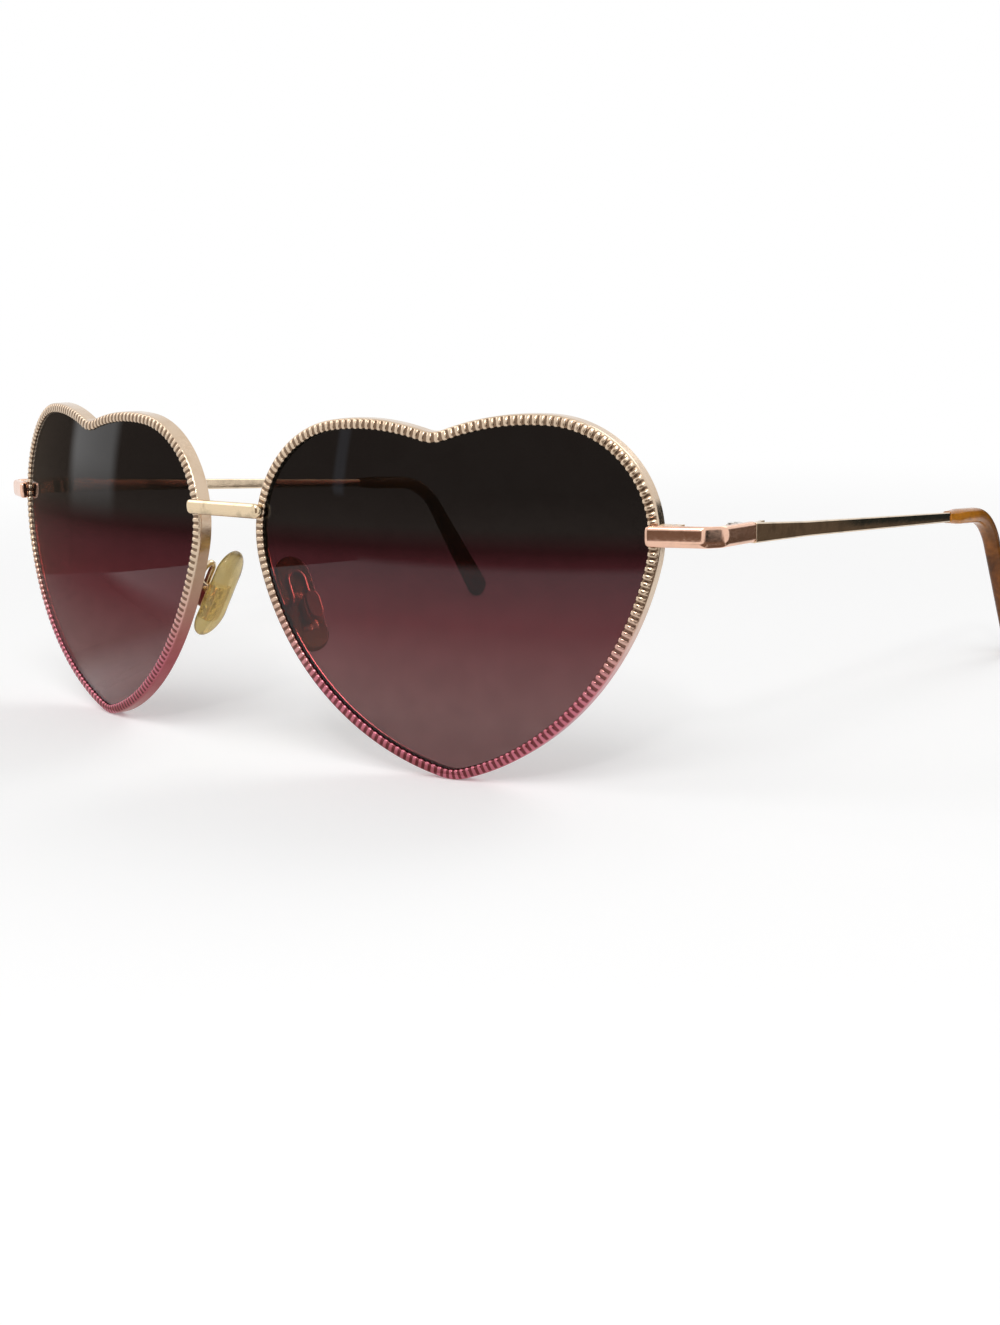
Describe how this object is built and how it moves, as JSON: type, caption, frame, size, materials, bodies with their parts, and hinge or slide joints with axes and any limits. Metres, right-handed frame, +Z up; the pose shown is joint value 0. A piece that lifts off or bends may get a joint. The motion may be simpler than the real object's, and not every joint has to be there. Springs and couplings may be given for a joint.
{
  "type": "heart shaped sunglasses",
  "caption": "Heart-shaped sunglasses: coined metal rims with rose gradient lenses, a straight bar bridge, adjustable nose pads and slim folding temples with amber tips.",
  "frame": {"origin": "under the middle of the open sunglasses, on the surface that the rim bottoms and temple tips stand on", "axes": "+X to the wearer's left, +Y from the front back along the temples, +Z up; the front faces -Y"},
  "size_m": [0.143, 0.1264, 0.0481],
  "materials": {
    "coined_gold": "coined, gold fading to rose",
    "polished_gold": "polished",
    "rose_gold": "polished rose gold",
    "temple_gold": "satin gold",
    "hinge_metal": "satin",
    "screw_steel": "satin",
    "rose_lens": "polished tint, smoke to rose",
    "amber_tip": "polished mottled amber",
    "pad_clear": "soft translucent",
    "pad_core": "moulded"
  },
  "bodies": {
    "front": {"bridge": "polished_gold", "rim_left": "coined_gold", "lens_left": "rose_lens", "end_piece_left": "rose_gold", "rim_block_upper_left": "hinge_metal", "rim_block_lower_left": "hinge_metal", "rim_screw_left": "screw_steel", "front_hinge_left": "hinge_metal", "hinge_screw_left": "screw_steel", "pad_arm_left": "hinge_metal", "pad_box_left": "hinge_metal", "pad_screw_left": "screw_steel", "rim_right": "coined_gold", "lens_right": "rose_lens", "end_piece_right": "rose_gold", "rim_block_upper_right": "hinge_metal", "rim_block_lower_right": "hinge_metal", "rim_screw_right": "screw_steel", "front_hinge_right": "hinge_metal", "hinge_screw_right": "screw_steel", "pad_arm_right": "hinge_metal", "pad_box_right": "hinge_metal", "pad_screw_right": "screw_steel"},
    "temple_left": {"temple_left": "temple_gold", "temple_hinge_left": "hinge_metal", "temple_tip_left": "amber_tip"},
    "nose_pad_left": {"nose_pad_left": "pad_clear", "pad_stem_left": "pad_core"},
    "temple_right": {"temple_right": "temple_gold", "temple_hinge_right": "hinge_metal", "temple_tip_right": "amber_tip"},
    "nose_pad_right": {"nose_pad_right": "pad_clear", "pad_stem_right": "pad_core"}
  },
  "joints": [
    {"name": "temple_left_fold", "type": "hinge", "parent": "front", "child": "temple_left", "pos_m": [0.06781, -0.03727, 0.0327], "axis": [0, 0, 1], "range_deg": [0, 84]},
    {"name": "temple_right_fold", "type": "hinge", "parent": "front", "child": "temple_right", "pos_m": [-0.06781, -0.03727, 0.0327], "axis": [0, 0, -1], "range_deg": [0, 81]},
    {"name": "nose_pad_left_rock", "type": "hinge", "parent": "front", "child": "nose_pad_left", "pos_m": [0.0114, -0.0571, 0.02116], "axis": [-0.2588, -0.9659, 0], "range_deg": [-8, 8]},
    {"name": "nose_pad_right_rock", "type": "hinge", "parent": "front", "child": "nose_pad_right", "pos_m": [-0.0114, -0.0571, 0.02116], "axis": [0.2588, -0.9659, 0], "range_deg": [-8, 8]}
  ]
}
